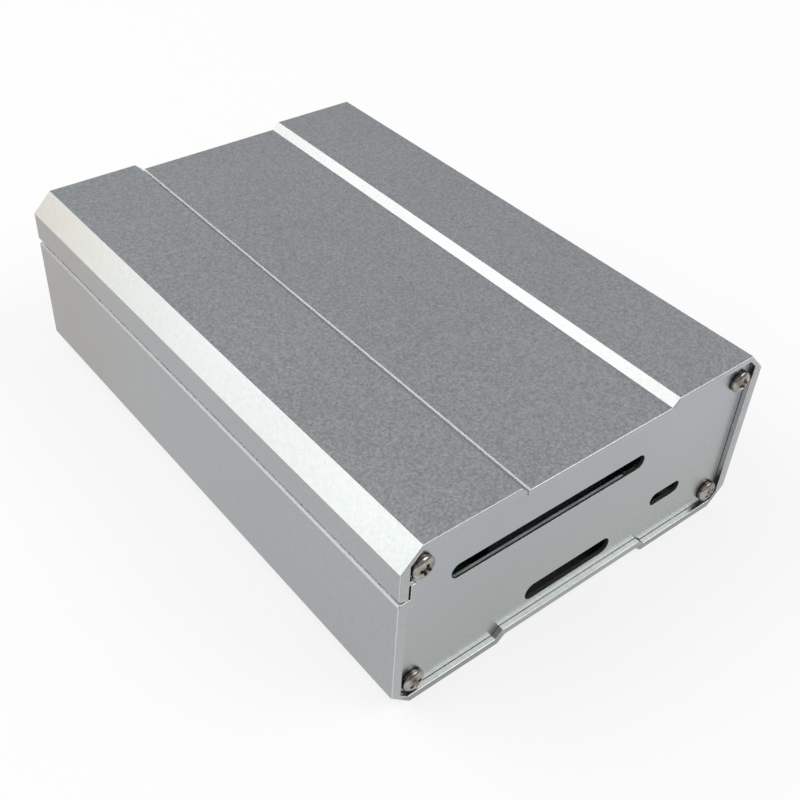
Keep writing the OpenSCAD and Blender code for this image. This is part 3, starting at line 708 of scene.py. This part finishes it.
def plate_screws(node, out):
    """The four screws of one plate, whose heads point towards out along Y."""
    low, high = box_mm(node)
    plate_low, plate_high = box_mm("front_plate" if out < 0 else "rear_plate")
    seat = plate_low.y if out < 0 else plate_high.y
    crown = low.y if out < 0 else high.y
    tip = high.y if out < 0 else low.y
    columns = (low.x + HEAD_R, high.x - HEAD_R)
    rows = (low.z + HEAD_R, high.z - HEAD_R)
    places = [(px, pz) for px in columns for pz in rows]

    def fill(bm):
        heads, cutter = bmesh.new(), bmesh.new()
        for (px, pz), turn in zip(places, CROSS_TURNS):
            screw_head(heads, px, pz, seat, out, abs(crown - seat))
            screw_recess(cutter, px, pz, crown, out, math.radians(turn))
            screw_thread(bm, px, pz, seat, out, abs(tip - seat))
        carve(bm, heads, cutter)
        joint = seat - out * PLAIN_NECK
        lids = [face for face in bm.faces if all(abs(vert.co.y - joint) < TOUCHING for vert in face.verts)]
        bmesh.ops.delete(bm, geom=lids, context="FACES")
        bmesh.ops.remove_doubles(bm, verts=bm.verts, dist=TOUCHING)

    made = piece(node + "_detail", "screw", fill, SCREW_SHARP)
    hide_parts(node)


plate_screws("front_plate_screws", -1)
plate_screws("rear_plate_screws", 1)


# Double ports: contacts under each tongue and spring leaves round each mouth

PORT_MOUTH_W = 12.0
PORT_MOUTH_H = 5.2
PORT_PITCH = 7.4
TONGUE_T = 1.9
TONGUE_BACK = 2.0
PROUD = 0.03
CONTACT_END = 9.8
CONTACT_LANES = (-3.5, -1.0, 1.0, 3.5)
CONTACT_W, CONTACT_T = 1.2, 0.1
SPRING_LANES = (-3.0, 3.0)
SPRING_W, SPRING_T = 2.4, 0.12
SIDE_SPRING_W, SIDE_SPRING_T, SIDE_SPRING_RISE = 1.8, 0.1, 0.55


def port_mouths():
    """Middle of each mouth on the face of its double port."""
    for node in ("double_port_left", "double_port_right"):
        low, high = box_mm(node)
        for side in (-1, 1):
            yield Vector(((low.x + high.x) / 2, high.y, (low.z + high.z) / 2 + side * PORT_PITCH / 2))


def fill_port_contacts(bm):
    path = [
        (TONGUE_BACK - PROUD, 0.55), (TONGUE_BACK - PROUD, 0.15), (TONGUE_BACK + 0.3, -PROUD),
        (CONTACT_END, -PROUD),
    ]
    for mouth in port_mouths():
        start = mouth - Z_AXIS * TONGUE_T / 2
        for lane in CONTACT_LANES:
            leaf(bm, path, start + X_AXIS * lane, -Y_AXIS, Z_AXIS, X_AXIS, CONTACT_W, CONTACT_T)


def fill_port_springs(bm):
    path = [(0.35, 0.06), (0.9, 0.12), (2.2, 0.75), (3.4, 0.95), (4.6, 0.75), (6.4, 0.1)]
    side_path = [(depth, SIDE_SPRING_RISE * height) for depth, height in path]
    for mouth in port_mouths():
        for way in (-1, 1):
            for lane in SPRING_LANES:
                start = mouth - Z_AXIS * way * PORT_MOUTH_H / 2 + X_AXIS * lane
                leaf(bm, path, start, -Y_AXIS, Z_AXIS * way, X_AXIS, SPRING_W, SPRING_T)
            start = mouth + X_AXIS * way * PORT_MOUTH_W / 2
            leaf(bm, side_path, start, -Y_AXIS, -X_AXIS * way, Z_AXIS, SIDE_SPRING_W, SIDE_SPRING_T)


piece("port_contacts", "contact", fill_port_contacts)
piece("port_springs", "tin", fill_port_springs)


# Network socket: plastic lining with a latch notch, eight contacts and two light windows

NET_W = 11.8
NET_H = 7.0
NET_L = 12.0
NET_CAP = 2.0
LATCH_W = 6.2
LATCH_H = 1.8
LINING_GAP = 0.02
LINING_WALL = 0.3
LINING_LIP = 0.25
LINING_CHAMFER = 0.1
LINING_END = 0.05
NET_CONTACTS = 8
NET_CONTACT_PITCH = 1.02
NET_CONTACT_W, NET_CONTACT_T = 0.46, 0.3
WINDOW_INSET = 0.9
WINDOW_HALF = 1.45
WINDOW_SINK, WINDOW_PROUD = 0.3, 0.06
WINDOW_FOOT, WINDOW_TOP = 2.75, 1.1
WINDOW_CUT = 0.12
net_low, net_high = box_mm("network_socket")
net_x = (net_low.x + net_high.x) / 2
net_top = net_high.z - NET_CAP - LATCH_H
net_foot = net_top - NET_H


def net_outline(gap):
    """The mouth's outline on the socket's face, drawn smaller by a gap."""
    half, notch = NET_W / 2 - gap, LATCH_W / 2 - gap
    foot, shoulder, top = net_foot + gap, net_top - gap, net_top + LATCH_H - gap
    return [
        (-half, foot), (half, foot), (half, shoulder), (notch, shoulder),
        (notch, top), (-notch, top), (-notch, shoulder), (-half, shoulder),
    ]


def fill_net_lining(bm):
    face = net_high.y - LINING_LIP
    back = net_high.y - NET_L + LINING_END
    stations = (
        (LINING_GAP, back), (LINING_GAP, face),
        (LINING_GAP + LINING_CHAMFER, face + LINING_CHAMFER),
        (LINING_WALL - LINING_CHAMFER, face + LINING_CHAMFER),
        (LINING_WALL, face), (LINING_WALL, back + LINING_WALL),
    )
    skin_rings(bm, [[(net_x + px, y, pz) for px, pz in net_outline(gap)] for gap, y in stations])


def fill_net_contacts(bm):
    path = [(2.0, 0.45), (2.6, 0.5), (8.6, 3.1), (9.2, 3.15), (9.7, 2.8)]
    for lane in range(NET_CONTACTS):
        x = net_x + (lane - (NET_CONTACTS - 1) / 2) * NET_CONTACT_PITCH
        start = Vector((x, net_high.y, net_foot))
        leaf(bm, path, start, -Y_AXIS, Z_AXIS, X_AXIS, NET_CONTACT_W, NET_CONTACT_T)


def fill_net_windows(bm):
    for way in (-1, 1):
        middle = net_x + way * (NET_W / 2 - WINDOW_INSET)
        low = (middle - WINDOW_HALF, net_high.y - WINDOW_SINK, net_high.z - WINDOW_FOOT)
        high = (middle + WINDOW_HALF, net_high.y + WINDOW_PROUD, net_high.z - WINDOW_TOP)
        brick(bm, low, high, WINDOW_CUT)


piece("network_lining", "black_plastic", fill_net_lining)
piece("network_contacts", "contact", fill_net_contacts)
piece("network_windows", "light", fill_net_windows)


# Video and power sockets: tongues with their contacts, seen through the side openings

Tongue = namedtuple("Tongue", "socket rise depth reach width thick lanes pitch lane_w lane_reach ways")
VIDEO = Tongue(
    socket="video_socket", rise=0.35, depth=1.6, reach=11.0, width=10.4, thick=0.9,
    lanes=10, pitch=1.0, lane_w=0.45, lane_reach=9.5, ways=(-1, 1),
)
POWER = Tongue(
    socket="power_socket", rise=0.3, depth=0.7, reach=4.9, width=3.9, thick=0.5,
    lanes=5, pitch=0.65, lane_w=0.36, lane_reach=4.4, ways=(-1,),
)
TONGUE_CUT = 0.12
LANE_T = 0.06
LANE_START = 0.35
LANE_RISE = 0.04


def tongue_root(tongue):
    """Place on the socket's face, in the middle of its tongue."""
    low, high = box_mm(tongue.socket)
    return Vector((high.x, (low.y + high.y) / 2, (low.z + high.z) / 2 + tongue.rise))


def fill_tongue(bm, tongue):
    root = tongue_root(tongue)
    side = Vector((0, tongue.width / 2, tongue.thick / 2))
    brick(bm, root - X_AXIS * tongue.reach - side, root - X_AXIS * tongue.depth + side, TONGUE_CUT)


def fill_lanes(bm, tongue):
    root = tongue_root(tongue)
    path = [
        (tongue.depth + LANE_START, 0.0), (tongue.depth + 2 * LANE_START, LANE_RISE),
        (tongue.lane_reach, LANE_RISE),
    ]
    for way in tongue.ways:
        for lane in range(tongue.lanes):
            shift = (lane - (tongue.lanes - 1) / 2) * tongue.pitch
            start = root + Y_AXIS * shift + Z_AXIS * way * tongue.thick / 2
            leaf(bm, path, start, -X_AXIS, Z_AXIS * way, Y_AXIS, tongue.lane_w, LANE_T)


for label, tongue in (("video", VIDEO), ("power", POWER)):
    piece(label + "_tongue", "black_plastic", lambda bm: fill_tongue(bm, tongue))
    piece(label + "_contacts", "contact", lambda bm: fill_lanes(bm, tongue))


# Film connectors: the latch that clamps the film, with an ear at each end

BAR_INSET, BAR_FRONT, BAR_BACK = 0.7, 0.35, 0.05
BAR_FOOT, BAR_RISE, BAR_CUT = 0.4, 0.9, 0.15
EAR_OUT, EAR_IN, EAR_SIDE = 0.5, 1.1, 0.1
EAR_FOOT, EAR_RISE, EAR_CUT = 0.9, 1.1, 0.2


def fill_latches(bm):
    for node in ("display_connector", "camera_connector"):
        low, high = box_mm(node)
        middle = (low.y + high.y) / 2
        bar_low = (low.x + BAR_INSET, middle + BAR_FRONT, high.z - BAR_FOOT)
        bar_high = (high.x - BAR_INSET, high.y - BAR_BACK, high.z + BAR_RISE)
        brick(bm, bar_low, bar_high, BAR_CUT)
        for near, far in ((low.x - EAR_OUT, low.x + EAR_IN), (high.x - EAR_IN, high.x + EAR_OUT)):
            ear_low = (near, middle - EAR_SIDE, high.z - EAR_FOOT)
            ear_high = (far, high.y + EAR_SIDE, high.z + EAR_RISE)
            brick(bm, ear_low, ear_high, EAR_CUT)


piece("film_latches", "white_plastic", fill_latches)


# Small board parts: resistors with tinned ends, and solder under the pin header

PART_L = 1.6
PART_W = 0.8
PART_H = 0.55
PART_END = 0.3
BODY_INSET = 0.1
BODY_SLACK, BODY_DROP = 0.06, 0.04
BODY_CUT, END_CUT = 0.05, 0.06
CHIP_ROW, CHIP_PITCH = 7, 1.9
CHIP_BACK_GAP, CHIP_SIDE_GAP = 1.6, 2.0
CHIP_BACK_FIRST, CHIP_SIDE_FIRST = 1.0, 0.8
HUB_ROW, HUB_PITCH, HUB_GAP, HUB_FIRST = 5, 1.8, 1.8, 0.8
CORNER_ROW, CORNER_PITCH, CORNER_X, CORNER_Y = 4, 2.0, 13.0, 3.4
PIN_HALF = 0.32
PIN_ROWS = 20
SOLDER_SIDES = 12
SOLDER_PROFILE = ((0.85, 0.0), (0.62, 0.3), (0.38, 0.75), (0.3, 1.15), (0.12, 1.25))
board_low, board_high = box_mm("circuit_board")


def small_parts():
    """Middle and length axis of each resistor, in rows beside the chips."""
    chip_low, chip_high = box_mm("processor")
    hub_low = box_mm("network_chip")[0]
    face = board_high.z
    for k in range(CHIP_ROW):
        run = CHIP_PITCH * k
        yield Vector((chip_low.x + CHIP_BACK_FIRST + run, chip_high.y + CHIP_BACK_GAP, face)), Y_AXIS
        yield Vector((chip_low.x - CHIP_SIDE_GAP, chip_low.y + CHIP_SIDE_FIRST + run, face)), X_AXIS
        yield Vector((chip_high.x + CHIP_SIDE_GAP, chip_low.y + CHIP_SIDE_FIRST + run, face)), X_AXIS
    for k in range(HUB_ROW):
        yield Vector((hub_low.x - HUB_GAP, hub_low.y + HUB_FIRST + HUB_PITCH * k, face)), X_AXIS
    for k in range(CORNER_ROW):
        yield Vector((board_high.x - CORNER_X + CORNER_PITCH * k, board_low.y + CORNER_Y, face)), Y_AXIS


def part_box(bm, middle, axis, start, end, side, height, cut):
    """A block on the board, from start to end along its axis."""
    other = X_AXIS if axis == Y_AXIS else Y_AXIS
    half = other * side / 2
    brick(bm, middle + axis * start - half, middle + axis * end + half + Z_AXIS * height, cut)


def fill_part_bodies(bm):
    reach = PART_L / 2 - BODY_INSET
    for middle, axis in small_parts():
        part_box(bm, middle, axis, -reach, reach, PART_W - BODY_SLACK, PART_H - BODY_DROP, BODY_CUT)


def fill_part_ends(bm):
    for middle, axis in small_parts():
        for start in (-PART_L / 2, PART_L / 2 - PART_END):
            part_box(bm, middle, axis, start, start + PART_END, PART_W, PART_H, END_CUT)


def fill_solder(bm):
    low, high = box_mm("header_pins")
    pitch = (high.y - low.y - 2 * PIN_HALF) / (PIN_ROWS - 1)
    for x in (low.x + PIN_HALF, high.x - PIN_HALF):
        for row in range(PIN_ROWS):
            y = low.y + PIN_HALF + row * pitch
            rings = []
            for radius, drop in SOLDER_PROFILE:
                z = board_low.z - drop
                rings.append([(x + dx, y + dy, z) for dx, dy in circle(radius, SOLDER_SIDES)])
            skin_rings(bm, rings)


piece("resistor_bodies", "chip", fill_part_bodies)
piece("resistor_ends", "tin", fill_part_ends)
piece("header_solder", "tin", fill_solder)


# Light: two soft panels and a sky, in metres

AIM = Vector((0.0, 0.0, 0.014))
HORIZON_TONE = (0.30, 0.305, 0.31)
OVERHEAD_TONE = (0.545, 0.55, 0.555)
SKY_FADE = 0.42


def panel(name, towards, distance, size, radiance, tint):
    """A soft panel that faces the case from a direction, as bright as the radiance."""
    lamp = bpy.data.lights.new(name, "AREA")
    lamp.shape = "RECTANGLE"
    lamp.color = tint
    lamp.size, lamp.size_y = size
    lamp.energy = radiance * math.pi * size[0] * size[1]
    obj = bpy.data.objects.new(name, lamp)
    scene.collection.objects.link(obj)
    obj.location = AIM + Vector(towards).normalized() * distance
    obj.rotation_euler = (AIM - obj.location).to_track_quat("-Z", "Y").to_euler()


panel(
    "panel_back_left", towards=(-0.59, 0.50, 0.635), distance=0.9, size=(0.95, 0.80), radiance=2.1,
    tint=(0.985, 1.0, 0.925),
)
panel(
    "panel_front_right", towards=(0.47, -0.53, 0.72), distance=1.0, size=(0.7, 0.6), radiance=2.6,
    tint=(1.0, 1.0, 1.0),
)

world = bpy.data.worlds.new("studio")
scene.world = world
world.use_nodes = True
sky = world.node_tree
up = axes_of(sky, put(sky, "ShaderNodeTexCoord").outputs["Generated"])["Z"]
sky_tone = blend(sky, remap(sky, up, 0.0, SKY_FADE, 0.0, 1.0), HORIZON_TONE, OVERHEAD_TONE)
sky.links.new(sky_tone, sky.nodes["Background"].inputs["Color"])


# Floor: pale paper that the camera and mirrors see as near white

FLOOR_SIZE = 4.0
FLOOR_DROP = 0.02
FLOOR_GLOW = 0.75
PAPER_TONE = (0.9, 0.9, 0.9)

bpy.ops.mesh.primitive_plane_add(size=FLOOR_SIZE, location=(0, 0, -FLOOR_DROP * MM))
floor = bpy.context.object
floor.name = "floor"
mat, tree, out = new_tree("floor_paper")
paper = put(tree, "ShaderNodeBsdfDiffuse", {"Color": PAPER_TONE})
white = put(tree, "ShaderNodeEmission", {"Color": (1.0, 1.0, 1.0), "Strength": 1.0})
path = put(tree, "ShaderNodeLightPath").outputs
seen = math_node(tree, "MAXIMUM", path["Is Camera Ray"], path["Is Glossy Ray"])
seen = math_node(tree, "MAXIMUM", seen, path["Is Transmission Ray"])
glow = times(tree, seen, FLOOR_GLOW)
sheet = put(tree, "ShaderNodeMixShader", {0: glow, 1: paper.outputs[0], 2: white.outputs[0]})
tree.links.new(sheet.outputs[0], out.inputs[0])
floor.data.materials.append(mat)


# Camera, fitted to the corners of the case in the photo

CAMERA_PLACE = Vector((-84.80, -105.19, 117.90))
RIGHT = Vector((0.78058, -0.62329, 0.04685))
DOWN = Vector((-0.37512, -0.52710, -0.76253))
AHEAD = Vector((0.49998, 0.57765, -0.64525))

camera = bpy.data.objects.new("camera", bpy.data.cameras.new("camera"))
scene.collection.objects.link(camera)
camera.data.sensor_fit = "HORIZONTAL"
camera.data.sensor_width = 36.0
camera.data.lens = 50.39
camera.data.clip_start = 0.005
camera.data.clip_end = 20.0
turn = Matrix((RIGHT, -DOWN, -AHEAD)).transposed().to_4x4()
camera.matrix_world = Matrix.Translation(CAMERA_PLACE * MM) @ turn
scene.camera = camera

scene.view_settings.view_transform = "Standard"
